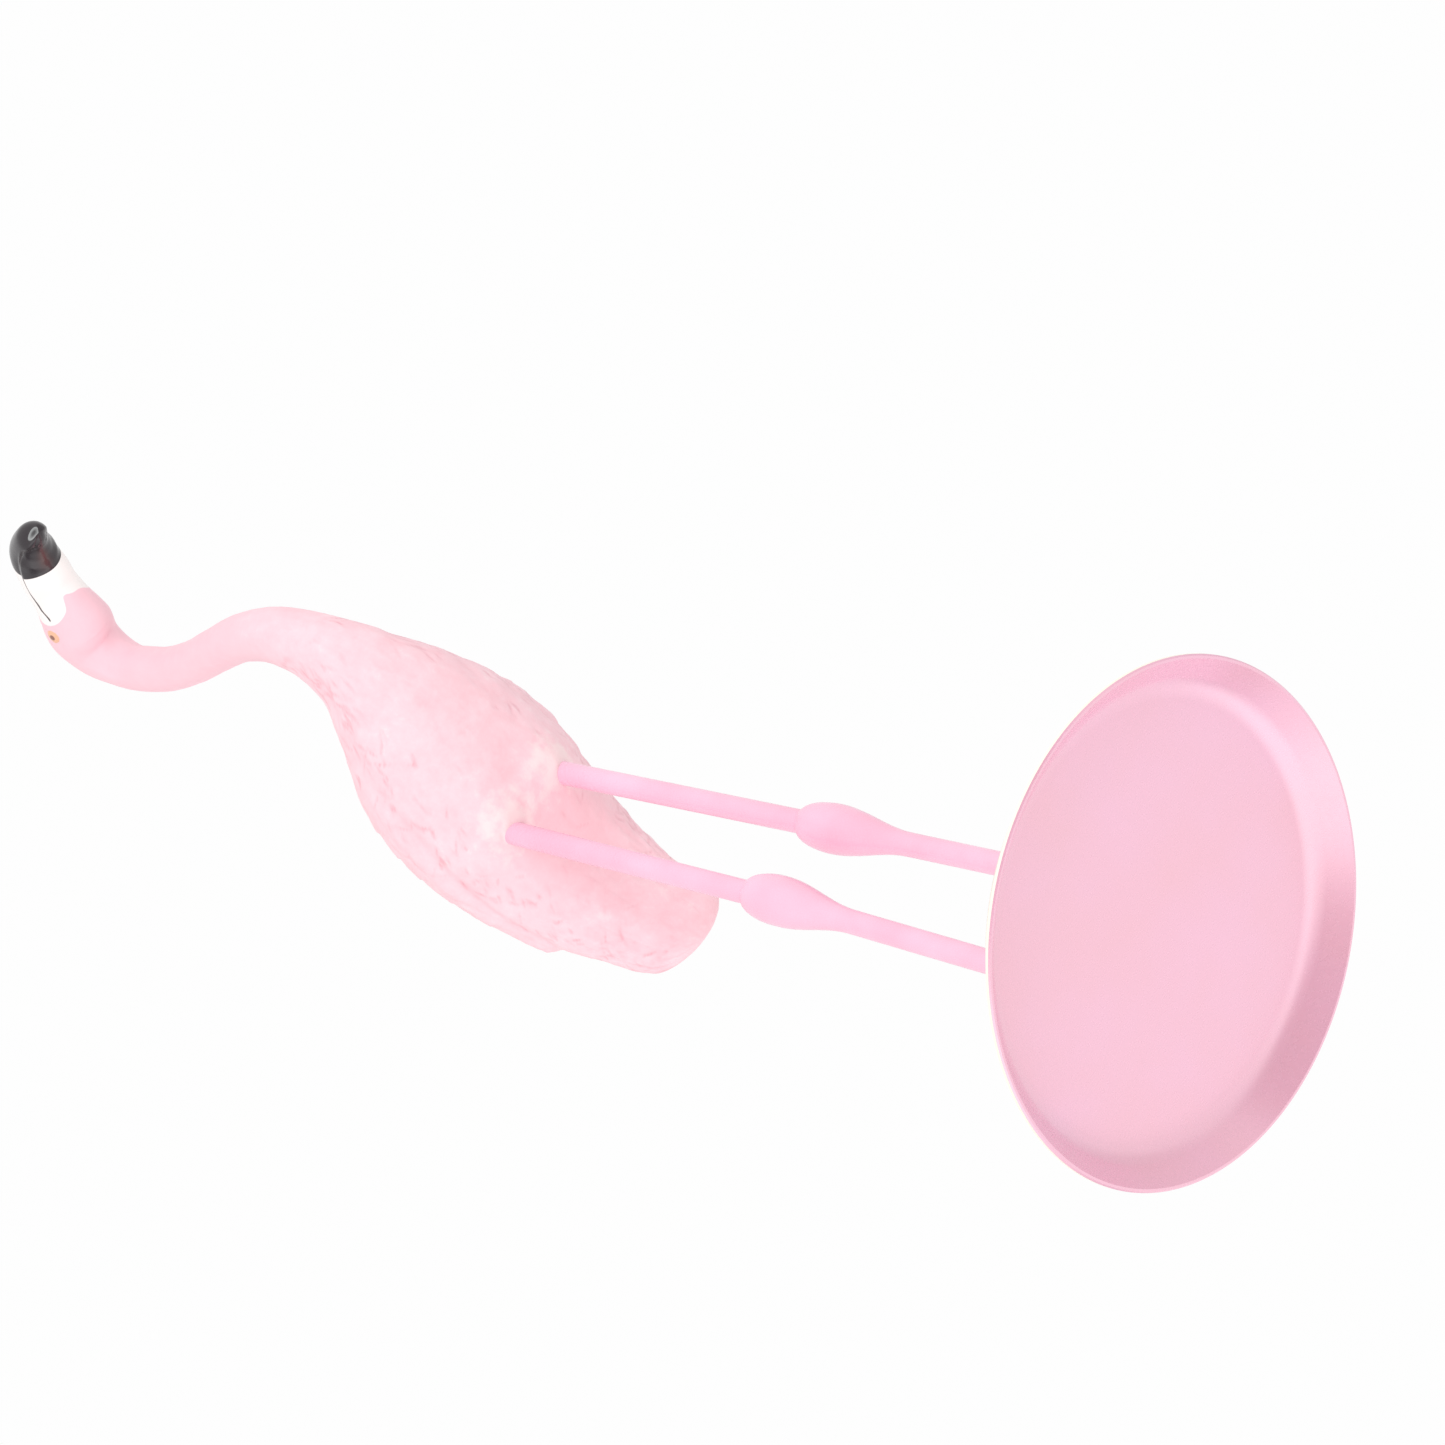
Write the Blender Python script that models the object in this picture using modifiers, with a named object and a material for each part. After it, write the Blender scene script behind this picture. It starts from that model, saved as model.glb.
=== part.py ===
"""Resin flamingo figurine: a cast bird on two knobbed legs, on a round base that is hollow underneath.

The bird faces -Y and its left side is +X. The table is the plane z = 0, and the origin lies under the
middle of the whole figurine. Run it with Blender 4.5, or from its text editor.
"""

import math

import bmesh
import bpy
import numpy as np
from mathutils import Matrix, Vector

MM = 0.001

# Whole figure
FIGURE_HEIGHT = 301.2 * MM
POSE_HEIGHT = 301.2
UNIT = FIGURE_HEIGHT / POSE_HEIGHT
GAP = 0.3 * MM

# Base: an inverted dish
BASE_RADIUS = 50 * MM
BASE_HEIGHT = 10.5 * MM
PLATE_THICKNESS = 3.5 * MM
RIM_WIDTH = 1.5 * MM
RIM_CHAMFER = 0.3 * MM
UPRIGHT_EDGE = 0.9 * MM
SIDE_SLOPE = math.radians(44)
SHOULDER_RADIUS = 8 * MM
RECESS_CURVE = 11.5 * MM
RECESS_DEPTH = BASE_HEIGHT - PLATE_THICKNESS
BASE_SIDES = 72
SEAM_MERGE = 0.05 * MM
CURVE_POINTS = 6

# Legs: round rods with a teardrop knee
LEG_RADIUS = 2.4 * MM
KNEE_SWELL = 2.75 * MM
KNEE_RISE = 8.5 * MM
KNEE_FALL = 19 * MM
SOCKET_DEPTH = 7 * MM
LEG_SIDES = 20
# Rings of the knee: shares of its fall below it, and angles of its round upper end
KNEE_FALL_RINGS = (0.8, 0.62, 0.45, 0.3, 0.15, 0)
KNEE_RISE_RINGS = (25, 45, 62, 77, 90)
SOCKET_SIDES = 16

# Feet: a flat web with three toes
FOOT_LENGTH = 21 * MM
FOOT_HEEL = 4.5 * MM
WEB_THICKNESS = 1 * MM
TOE_RISE = 1.3 * MM
TOE_WIDTH = 1.5 * MM
TOE_SPREAD = math.radians(27)
TOE_TURN_OUT = math.radians(8)
TOE_FADE = 0.45
WEB_SCALLOP = 0.2
WEB_PAST_TOE = math.radians(8)
HEEL_TURN = math.radians(50)
HEEL_START = 0.9
FOOT_EDGE = 0.55
FOOT_RINGS = (0.3, 0.55, 0.8, 1)
FOOT_SIDES = 36

# The pose, in shares of the figure's height (POSE_HEIGHT of them make the whole height):
# forward of the base's centre, up from the table, and out to the side
HIP = (1.1, 172, 8.5)
KNEE = (-2.8, 98.4, 9.7)
FOOT = (-10, 12, 12.3)

# The bird's form along its spine, from tail to beak, in the same shares: forward, up,
# half width, height above the spine, depth below the spine
FORM = (
    (-34, 148.2, 10.2, 2.2, 2.2),
    (-32.4, 155, 12, 3.8, 3.6),
    (-29, 164, 13.6, 6.2, 5.6),
    (-22, 174, 16.3, 10.4, 8.4),
    (-10, 183.2, 19.5, 15.4, 12.2),
    (2.8, 189.6, 20.8, 17.2, 15.8),
    (15.2, 195.2, 19.3, 16.2, 17),
    (26.2, 199.4, 14.5, 12.4, 15),
    (34.2, 204.4, 9.8, 8.2, 10.8),
    (39.2, 212.2, 7.2, 6.6, 7.8),
    (41.4, 221.6, 6, 6, 6.2),
    (39.3, 234.8, 5.1, 5.1, 5.1),
    (33.3, 248.8, 4.7, 4.7, 4.7),
    (27.6, 261.2, 4.6, 4.6, 4.6),
    (23.4, 275.4, 4.8, 4.8, 4.7),
    (23.4, 286.6, 5.1, 5.1, 5.1),
    (27.6, 292.6, 6.3, 6.2, 6.4),
    (33, 294, 7, 7.2, 7.6),
    (38, 293.6, 6.3, 6.6, 7.8),
    (42.6, 293.2, 5.5, 5.5, 7.2),
    (49.2, 293.3, 4.8, 4.6, 6.8),
    (55.6, 291.8, 4.4, 5.2, 5.8),
    (60, 287.9, 3.9, 3.9, 4.2),
    (62.5, 283.8, 3.2, 3, 3),
)
TAIL_ROUNDING = 6
BEAK_ROUNDING = 3.6
RINGS = 72
END_RINGS = 5
SIDES = 36
# Angles of the points around a ring, from below to above, at these shares of their number
TURN_SHARES = (0, 0.2, 0.55, 1)
TURN_ANGLES = (-90, -40, 10, 90)

# Folded wings, standing proud of the body: places along the spine are shares of its length,
# angles are measured down from the widest line
WING_RISE = 1.5
WING_TIP = 0.109
WING_SHOULDER = 0.37
WING_DROP = math.radians(18)
WING_EDGE = math.radians(7)
WING_PARTING = math.radians(66)
WING_TIP_LIFT = math.radians(2)
WING_FULLEST = 1.5
WING_TIP_FADE = 0.012
WING_SHOULDER_FADE = 0.12

# Tufts of feathers around the tops of the legs
TUFT_RISE = 3
TUFT_REACH = 7.5
TUFT_FORWARD = 2.5
TUFT_UP = 1

PINK = (0.91, 0.56, 0.66)
PALE_PINK = (0.95, 0.70, 0.75)
BASE_PINK = (0.90, 0.50, 0.62)


def clear_scene():
    for obj in list(bpy.data.objects):
        bpy.data.objects.remove(obj)


def new_collection(name):
    collection = bpy.data.collections.new(name)
    bpy.context.scene.collection.children.link(collection)
    return collection


def resin(name, colour, roughness):
    material = bpy.data.materials.new(name)
    material.use_nodes = True
    shader = material.node_tree.nodes["Principled BSDF"]
    shader.inputs["Base Color"].default_value = (*colour, 1)
    shader.inputs["Roughness"].default_value = roughness
    shader.inputs["Metallic"].default_value = 0
    return material


def smooth_step(value, start, end):
    share = np.clip((value - start) / (end - start), 0, 1)
    return share * share * (3 - 2 * share)


def place(forward, up, side, forward_shift=0):
    """A point of the figure: forward is -Y, side is +X for the bird's left."""
    return Vector((side, -forward + forward_shift, up))


def mesh_object(name, points, faces, collection):
    mesh = bpy.data.meshes.new(name)
    mesh.from_pydata([tuple(point) for point in points], [], faces)
    shape = bmesh.new()
    shape.from_mesh(mesh)
    bmesh.ops.recalc_face_normals(shape, faces=shape.faces)
    shape.to_mesh(mesh)
    shape.free()
    obj = bpy.data.objects.new(name, mesh)
    collection.objects.link(obj)
    return obj


def shade(obj, material, angle=35):
    obj.data.materials.clear()
    obj.data.materials.append(material)
    obj.data.shade_smooth()
    obj.data.set_sharp_from_angle(angle=math.radians(angle))


# The bird


class Spine:
    """The smooth curve through the rows of FORM, with the form's sizes along it."""

    def __init__(self, rows):
        self.rows = np.array(rows, float) * UNIT
        steps = np.linalg.norm(np.diff(self.rows[:, :2], axis=0), axis=1)
        self.at = np.concatenate([[0], np.cumsum(steps)])
        self.length = self.at[-1]
        self.slopes = np.gradient(self.rows, self.at, axis=0)

    def values(self, distance):
        """Position, half width, height above and depth below at a distance from the tail's end."""
        index = int(np.clip(np.searchsorted(self.at, distance) - 1, 0, len(self.at) - 2))
        span = self.at[index + 1] - self.at[index]
        share = (distance - self.at[index]) / span
        ease = share * share * (3 - 2 * share)
        row = self.rows[index] * (1 - ease) + self.rows[index + 1] * ease
        row = row + self.slopes[index] * span * share * (1 - share) ** 2
        return row - self.slopes[index + 1] * span * share**2 * (1 - share)

    def direction(self, distance):
        step = 0.2 * UNIT
        before = self.values(max(distance - step, 0))[:2]
        after = self.values(min(distance + step, self.length))[:2]
        return (after - before) / np.linalg.norm(after - before)


def end_share(distance, length):
    """Closes both ends of the form with a rounded cap."""
    tail = min(distance / (TAIL_ROUNDING * UNIT), 1)
    beak = min((length - distance) / (BEAK_ROUNDING * UNIT), 1)
    return math.sqrt(max(1 - (1 - tail) ** 2, 0)) * math.sqrt(max(1 - (1 - beak) ** 2, 0))


def ring_distances(length):
    """Even rings along the spine, closer together in the two rounded ends."""
    angles = np.linspace(0, math.pi / 2, END_RINGS + 1)[1:]
    tail = TAIL_ROUNDING * UNIT * (1 - np.cos(angles))
    beak = length - BEAK_ROUNDING * UNIT * (1 - np.cos(angles[::-1]))
    middle = np.linspace(tail[-1], beak[0], RINGS + 2)[1:-1]
    return np.concatenate([tail, middle, beak])


def ring_turns():
    """Angles around a ring, closer together on the flanks, where the wings' lower edges run."""
    shares = np.arange(SIDES // 2 + 1) / (SIDES // 2)
    left = np.radians(np.interp(shares, TURN_SHARES, TURN_ANGLES))
    return np.concatenate([left, math.pi - left[-2:0:-1]])


def wing_rise(share, turn):
    """How far a folded wing stands out, from the place along the spine and the angle around it."""
    below = -math.asin(np.clip(math.sin(turn), -1, 1))
    along = np.clip((share - WING_TIP) / (WING_SHOULDER - WING_TIP), 0, 1)
    edge = WING_DROP * math.sin(math.pi * along**WING_FULLEST) - WING_TIP_LIFT * (1 - along)
    side = smooth_step(edge - below, 0, WING_EDGE)
    parting = smooth_step(WING_PARTING + below, 0, WING_EDGE)
    ends = smooth_step(share, WING_TIP, WING_TIP + WING_TIP_FADE)
    ends *= 1 - smooth_step(share, WING_SHOULDER - WING_SHOULDER_FADE, WING_SHOULDER)
    return WING_RISE * UNIT * side * parting * ends


def tuft_rise(point):
    rise = 0
    for side in (-1, 1):
        root = np.array([HIP[0] + TUFT_FORWARD, HIP[1] + TUFT_UP, side * HIP[2]]) * UNIT
        apart = np.linalg.norm(point - root) / (TUFT_REACH * UNIT)
        rise += TUFT_RISE * UNIT * math.exp(-apart * apart)
    return rise


def bird_point(spine, distance, turn):
    """Forward, up and side of the skin at a distance along the spine and an angle around it."""
    forward, up, width, above, below = spine.values(distance)
    cap = end_share(distance, spine.length)
    along = spine.direction(distance)
    out = np.array([-along[1], along[0]])
    depth = above if math.sin(turn) > 0 else below
    side_part = width * cap * math.cos(turn)
    out_part = depth * cap * math.sin(turn)
    point = np.array([forward, up, 0]) + [out[0] * out_part, out[1] * out_part, side_part]
    normal = np.array([math.cos(turn) / width, math.sin(turn) / depth])
    normal /= np.linalg.norm(normal)
    rise = wing_rise(distance / spine.length, turn) + tuft_rise(point)
    outward = np.array([out[0] * normal[1], out[1] * normal[1], normal[0]])
    return point + outward * rise * cap


def bird_skin(spine):
    """Rings of points around the spine, with a pole at each end, and the faces between them."""
    distances = ring_distances(spine.length)
    turns = ring_turns()
    start = spine.values(0)
    end = spine.values(spine.length)
    points = [np.array([start[0], start[1], 0])]
    for distance in distances[:-1]:
        points += [bird_point(spine, distance, turn) for turn in turns]
    points.append(np.array([end[0], end[1], 0]))
    last = len(points) - 1
    faces = []
    rings = len(distances) - 1
    for side in range(SIDES):
        other = (side + 1) % SIDES
        faces.append((0, 1 + other, 1 + side))
        for ring in range(rings - 1):
            low = 1 + ring * SIDES
            high = low + SIDES
            faces.append((low + side, low + other, high + other, high + side))
        top = 1 + (rings - 1) * SIDES
        faces.append((last, top + side, top + other))
    return points, faces


# The legs


def leg_points(side):
    """Foot, knee and hip of one leg as (forward, up, side) in metres."""
    foot = np.array([FOOT[0] * UNIT, BASE_HEIGHT + GAP, side * FOOT[2] * UNIT])
    knee = np.array([KNEE[0], KNEE[1], side * KNEE[2]]) * UNIT
    hip = np.array([HIP[0], HIP[1], side * HIP[2]]) * UNIT
    return foot, knee, hip


def knee_share(rise):
    """Share of the knee's swelling at a height above the knee: blunt above, a long taper below."""
    if rise > 0:
        return math.sqrt(max(1 - (rise / KNEE_RISE) ** 2, 0))
    return 0.5 + 0.5 * math.cos(math.pi * min(-rise / KNEE_FALL, 1))


def leg_path(side):
    """Points of the leg from inside the foot to inside the bird, each with its radius."""
    foot, knee, hip = leg_points(side)
    thigh = (hip - knee) / np.linalg.norm(hip - knee)
    start = foot + (knee - foot) * 0.5 * WEB_THICKNESS / (knee[1] - foot[1])
    end = hip + thigh * SOCKET_DEPTH
    shank = knee - start
    shank_length = np.linalg.norm(shank)
    below = [0, shank_length - KNEE_FALL]
    below += [shank_length - KNEE_FALL * share for share in KNEE_FALL_RINGS]
    path = [(start + shank * distance / shank_length, distance - shank_length) for distance in below]
    above = [KNEE_RISE * math.sin(math.radians(angle)) for angle in KNEE_RISE_RINGS]
    path += [(knee + thigh * rise, rise) for rise in above]
    path.append((end, np.linalg.norm(end - knee)))
    return [(point, LEG_RADIUS + KNEE_SWELL * knee_share(rise)) for point, rise in path]


def foot_height(reach, turn):
    """Top of the foot above its sole: three toes on a thin web, swelling towards the ankle."""
    height = WEB_THICKNESS
    for toe in (-1, 0, 1):
        away = reach * math.sin(abs(turn - toe * TOE_SPREAD))
        height += TOE_RISE * math.exp(-((away / TOE_WIDTH) ** 2)) * (1 - TOE_FADE * reach / FOOT_LENGTH)
    return height


def foot_reach(turn):
    """Length of the foot in a direction: full at each toe, drawn in between the toes, short at the heel."""
    web = TOE_SPREAD + WEB_PAST_TOE
    if abs(turn) > web:
        fall = min((abs(turn) - web) / HEEL_TURN, 1)
        return FOOT_HEEL + (FOOT_LENGTH - FOOT_HEEL) * (1 - fall) ** 3 * HEEL_START
    between = math.sin(math.pi * turn / TOE_SPREAD) ** 2
    return FOOT_LENGTH * (1 - WEB_SCALLOP * between)


def foot_skin(side, shift):
    """The foot as rings around the ankle, on the base's top, with a flat sole."""
    ankle = leg_points(side)[0]
    turns = [math.pi * (2 * (index + 0.5) / FOOT_SIDES - 1) for index in range(FOOT_SIDES)]
    heading = side * TOE_TURN_OUT
    points = [place(ankle[0], ankle[1] + foot_height(0, 0), ankle[2], shift)]
    points.append(place(*ankle, shift))
    for share in FOOT_RINGS:
        for turn in turns:
            reach = foot_reach(turn) * share
            up = ankle[1] + foot_height(reach, turn) * (1 if share < 1 else FOOT_EDGE)
            forward = ankle[0] + reach * math.cos(turn + heading)
            points.append(place(forward, up, ankle[2] + reach * math.sin(turn + heading), shift))
    for turn in turns:
        reach = foot_reach(turn)
        forward = ankle[0] + reach * math.cos(turn + heading)
        points.append(place(forward, ankle[1], ankle[2] + reach * math.sin(turn + heading), shift))
    faces = []
    count = len(turns)
    for index in range(count):
        other = (index + 1) % count
        faces.append((0, 2 + index, 2 + other))
        for ring in range(len(FOOT_RINGS)):
            near = 2 + ring * count
            far = near + count
            faces.append((near + index, far + index, far + other, near + other))
        sole = 2 + len(FOOT_RINGS) * count
        faces.append((1, sole + other, sole + index))
    return points, faces


def make_leg(name, side, shift, part, cutters):
    """A bevelled curve with the knee in its radius, made a mesh and joined to its foot."""
    curve = bpy.data.curves.new(name + "_curve", "CURVE")
    curve.dimensions = "3D"
    curve.bevel_depth = LEG_RADIUS
    curve.bevel_resolution = LEG_SIDES // 4 - 1
    curve.use_fill_caps = True
    path = leg_path(side)
    rod = curve.splines.new("POLY")
    rod.points.add(len(path) - 1)
    for point, (spot, radius) in zip(rod.points, path):
        point.co = (*place(*spot, shift), 1)
        point.radius = radius / LEG_RADIUS
    guide = bpy.data.objects.new(name + "_curve", curve)
    part.objects.link(guide)
    graph = bpy.context.evaluated_depsgraph_get()
    mesh = bpy.data.meshes.new_from_object(guide.evaluated_get(graph))
    bpy.data.objects.remove(guide)
    shape = bmesh.new()
    shape.from_mesh(mesh)
    bmesh.ops.remove_doubles(shape, verts=shape.verts, dist=SEAM_MERGE)
    bmesh.ops.recalc_face_normals(shape, faces=shape.faces)
    shape.to_mesh(mesh)
    shape.free()
    leg = bpy.data.objects.new(name, mesh)
    part.objects.link(leg)
    foot = mesh_object(name + "_foot", *foot_skin(side, shift), cutters)
    hide_helper(foot)
    union = leg.modifiers.new("foot", "BOOLEAN")
    union.operation = "UNION"
    union.object = foot
    shade(leg, resin(name + "_resin", PINK, 0.35), 40)
    return leg


def hide_helper(obj):
    obj.hide_render = True
    obj.display_type = "WIRE"


# Base


def falling_arc(start, top, radius, fall):
    """Points of an arc that is level where it starts, at its top, and falls outwards through an angle."""
    angles = [fall * step / CURVE_POINTS for step in range(CURVE_POINTS + 1)]
    return [(start + radius * math.sin(angle), top - radius * (1 - math.cos(angle))) for angle in angles]


def base_profile():
    """Half section of the base: top, sloping side, upright edge, standing rim, then up inside the recess."""
    side_top = BASE_HEIGHT - SHOULDER_RADIUS * (1 - math.cos(SIDE_SLOPE))
    side_run = (side_top - UPRIGHT_EDGE) / math.tan(SIDE_SLOPE)
    level = BASE_RADIUS - side_run - SHOULDER_RADIUS * math.sin(SIDE_SLOPE)
    shoulder = falling_arc(level, BASE_HEIGHT, SHOULDER_RADIUS, SIDE_SLOPE)
    rim = [(BASE_RADIUS, UPRIGHT_EDGE), (BASE_RADIUS, RIM_CHAMFER), (BASE_RADIUS - RIM_CHAMFER, 0)]
    wall_fall = 2 * math.atan(RECESS_DEPTH / RECESS_CURVE)
    wall_radius = RECESS_CURVE / math.sin(wall_fall)
    wall = falling_arc(BASE_RADIUS - RIM_WIDTH - RECESS_CURVE, RECESS_DEPTH, wall_radius, wall_fall)
    return [(0, BASE_HEIGHT)] + shoulder + rim + wall[::-1] + [(0, RECESS_DEPTH)]


def make_base(shift, part):
    profile = base_profile()
    mesh = bpy.data.meshes.new("base")
    edges = [(index, index + 1) for index in range(len(profile) - 1)]
    mesh.from_pydata([(radius, 0, up) for radius, up in profile], edges, [])
    base = bpy.data.objects.new("base", mesh)
    base.location = (0, shift, 0)
    part.objects.link(base)
    turn = base.modifiers.new("turned", "SCREW")
    turn.steps = BASE_SIDES
    turn.render_steps = BASE_SIDES
    turn.use_merge_vertices = True
    turn.merge_threshold = SEAM_MERGE
    turn.use_smooth_shade = True
    mesh.materials.append(resin("base_resin", BASE_PINK, 0.15))
    return base


def make_socket(name, side, shift, cutters):
    """The blind hole in the bird that a leg's upper end sits in."""
    _, knee, hip = leg_points(side)
    thigh = (hip - knee) / np.linalg.norm(hip - knee)
    top = place(*(hip + thigh * (SOCKET_DEPTH + GAP)), shift)
    low = place(*(hip - thigh * 2 * TUFT_REACH * UNIT), shift)
    mesh = bpy.data.meshes.new(name)
    shape = bmesh.new()
    radius = LEG_RADIUS + GAP
    depth = (top - low).length
    bmesh.ops.create_cone(
        shape, cap_ends=True, segments=SOCKET_SIDES, radius1=radius, radius2=radius, depth=depth
    )
    shape.to_mesh(mesh)
    shape.free()
    socket = bpy.data.objects.new(name, mesh)
    turn = Vector((0, 0, 1)).rotation_difference(top - low).to_matrix().to_4x4()
    mesh.transform(Matrix.Translation((top + low) / 2) @ turn)
    cutters.objects.link(socket)
    hide_helper(socket)
    return socket


def main():
    clear_scene()
    part = new_collection("flamingo_figurine")
    cutters = new_collection("flamingo_cutters")
    spine = Spine(FORM)
    points, faces = bird_skin(spine)
    reach = max(point[0] for point in points)
    shift = (reach - BASE_RADIUS) / 2
    bird = mesh_object("bird", [place(*point, shift) for point in points], faces, part)
    make_base(shift, part)
    for name, side in (("left", 1), ("right", -1)):
        make_leg("leg_" + name, side, shift, part, cutters)
        socket = make_socket("socket_" + name, side, shift, cutters)
        cut = bird.modifiers.new("socket_" + name, "BOOLEAN")
        cut.operation = "DIFFERENCE"
        cut.object = socket
    shade(bird, resin("bird_resin", PALE_PINK, 0.45))


main()
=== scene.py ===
"""Blender scene of the resin flamingo figurine, seen from below as in its photograph.

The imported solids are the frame. The bird, both legs and the base are each replaced by a finer mesh of
the same form, with carved feathers, a mouth line, eyes and painted colours. Sizes are in millimetres.
"""

import math
import random

import bmesh
import bpy
import numpy as np
from mathutils import Matrix, Vector, noise


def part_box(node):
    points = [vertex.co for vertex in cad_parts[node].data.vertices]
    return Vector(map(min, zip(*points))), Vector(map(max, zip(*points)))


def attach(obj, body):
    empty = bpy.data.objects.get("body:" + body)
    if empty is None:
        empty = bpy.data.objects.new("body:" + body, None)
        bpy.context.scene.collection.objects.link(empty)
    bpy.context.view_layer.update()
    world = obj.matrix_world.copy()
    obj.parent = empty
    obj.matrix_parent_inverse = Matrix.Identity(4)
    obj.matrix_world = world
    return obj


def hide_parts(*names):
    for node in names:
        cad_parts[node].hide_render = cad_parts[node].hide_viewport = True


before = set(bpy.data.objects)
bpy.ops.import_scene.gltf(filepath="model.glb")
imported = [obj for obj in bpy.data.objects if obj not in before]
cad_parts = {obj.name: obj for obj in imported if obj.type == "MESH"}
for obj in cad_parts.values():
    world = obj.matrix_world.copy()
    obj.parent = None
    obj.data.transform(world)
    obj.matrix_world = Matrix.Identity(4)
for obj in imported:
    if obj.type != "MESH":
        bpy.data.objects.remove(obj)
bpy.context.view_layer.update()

MM = 0.001
SEED = 7
SAME_POINT = 0.005

# Places that come from the frame
BASE_LOW, BASE_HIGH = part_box("base")
BIRD_LOW, BIRD_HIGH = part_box("bird")
BASE_CENTRE = (BASE_LOW + BASE_HIGH) / 2
BASE_RADIUS = (BASE_HIGH.x - BASE_LOW.x) / 2 / MM
BASE_TOP = BASE_HIGH.z / MM
SHIFT = BASE_CENTRE.y / MM

# Camera: its place from the base's centre, and its turn about the line of sight
CAMERA_FORWARD = 790.04
CAMERA_LEFT = -577.54
CAMERA_UP = -861.61
CAMERA_AZIMUTH = math.radians(-37.5)
CAMERA_ELEVATION = math.radians(-45.269)
CAMERA_ROLL = math.radians(-80.489)
LENS = 176.38

# The bird's form along its spine, from tail to beak: forward of the base's centre, up from the
# table, half width, height above the spine, depth below the spine
FORM = (
    (-34, 148.2, 10.2, 2.2, 2.2),
    (-32.4, 155, 12, 3.8, 3.6),
    (-29, 164, 13.6, 6.2, 5.6),
    (-22, 174, 16.3, 10.4, 8.4),
    (-10, 183.2, 19.5, 15.4, 12.2),
    (2.8, 189.6, 20.8, 17.2, 15.8),
    (15.2, 195.2, 19.3, 16.2, 17),
    (26.2, 199.4, 14.5, 12.4, 15),
    (34.2, 204.4, 9.8, 8.2, 10.8),
    (39.2, 212.2, 7.2, 6.6, 7.8),
    (41.4, 221.6, 6, 6, 6.2),
    (39.3, 234.8, 5.1, 5.1, 5.1),
    (33.3, 248.8, 4.7, 4.7, 4.7),
    (27.6, 261.2, 4.6, 4.6, 4.6),
    (23.4, 275.4, 4.8, 4.8, 4.7),
    (23.4, 286.6, 5.1, 5.1, 5.1),
    (27.6, 292.6, 6.3, 6.2, 6.4),
    (33, 294, 7, 7.2, 7.6),
    (38, 293.6, 6.3, 6.6, 7.8),
    (42.6, 293.2, 5.5, 5.5, 7.2),
    (49.2, 293.3, 4.8, 4.6, 6.8),
    (55.6, 291.8, 4.4, 5.2, 5.8),
    (60, 287.9, 3.9, 3.9, 4.2),
    (62.5, 283.8, 3.2, 3, 3),
)
TAIL_ROUNDING = 6
BEAK_ROUNDING = 3.6
RINGS = 420
END_RINGS = 14
SIDES = 220

# Folded wings: places along the spine are shares of its length, angles are measured down
WING_RISE = 1.5
WING_TIP = 0.109
WING_SHOULDER = 0.37
WING_DROP = math.radians(18)
WING_EDGE = math.radians(13)
WING_PARTING = math.radians(66)
WING_TIP_LIFT = math.radians(2)
WING_FULLEST = 1.5
WING_TIP_FADE = 0.012
WING_SHOULDER_FADE = 0.12
CREVICE_DEPTH = 0.08
CREVICE_BELOW = math.radians(1.5)
CREVICE_WIDTH = math.radians(3)
CREVICE_TIP_FADE = 0.03
CREVICE_SHOULDER_FADE = (0.08, 0.02)

# Carved feathers of the wings, in rows like roof tiles with their tips towards the tail
FEATHER_ROWS = 8
FEATHER_SPACING = 1.4
FEATHER_ANGLE = math.radians(15)
FEATHER_RISE = 0.75
FEATHER_SOFT = 0.14
FEATHER_HALF_WIDTH = 0.56
FEATHER_MIDDLE = 0.6
SHAFT_WIDTH = 0.06
TAIL_FEATHERS = 11
TAIL_FEATHER_RISE = 0.3
TAIL_FEATHER_MIDDLE = 0.7
TAIL_START = 6
TAIL_FADE = (0.03, 0.05)

# Tufts of feathers around the tops of the legs
TUFT_RISE = 3
TUFT_REACH = 7.5
TUFT_FORWARD = 2.5
TUFT_UP = 1

# Carving of the body and the neck: soft lumps, grain and short cut strokes
BODY_END = (0.4, 0.5)
NECK_END = (0.8, 0.86)
LUMP_SIZE = 7
LUMP_RISE = 0.35
GRAIN_SIZE = 2
LUMPS_ON_NECK = 0.15
LUMPS_ON_BODY = 0.85
LUMPS_OFF_WING = 0.7
GRAIN_RISE = 0.14
GRAIN_FLOW = 0.6
GRAIN_ON_NECK = 0.3
GRAIN_ON_BODY = 0.7
STROKES = 560
STROKES_START = 3
STROKES_REACH = 0.46
STROKES_CROWDING = 0.9
STROKE_LENGTH = (1.6, 4.4)
STROKE_WIDTH = 0.34
STROKE_DEPTH = 0.2
STROKE_STRENGTH = (0.15, 0.5)
STROKE_SLANT = 0.6
STROKE_BEND = 0.15
STROKES_OFF_WING = 0.8
FLANK_STROKES = 0.6
FLANK_STRENGTH = 0.5

# Head: places marked BACK and the ends of the painted areas are distances from the beak's end;
# UNDERSIDE and THROAT_SIDES are sines of the angle below the side
BLACK_LENGTH = 10.7
BLACK_SIDE = 2.4
WHITE_LENGTH = 22
WHITE_SIDE = 4.7
LOBE_ANGLE = math.radians(117)
LOBE_WIDTH = math.radians(16)
LOBE_STEP = math.radians(7)
LOBE_REACH = 1.8
MOUTH_CORNER = 25.6
MOUTH_ARCH = -0.75
MOUTH_ARCH_BACK = 14
MOUTH_ARCH_LENGTH = 8
MOUTH_DROOP = 1.1
MOUTH_TURN = 4.5
MOUTH_FALL = 0.5
MOUTH_CORNER_LENGTH = 3
MOUTH_WIDTH = 0.3
MOUTH_DEPTH = 0.35
LOWER_BILL_SWELL = 0.7
LOWER_BILL_START = 6
LOWER_BILL_FADE = 2.5
LOWER_BILL_END = (15, 22)
LOWER_BILL_EDGE = 0.6
LOWER_TIP_DRAWN_IN = 0.9
LOWER_TIP_START = 2.5
HOOK_DRAWN_IN = 0.35
HOOK_BACK = 9
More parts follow.
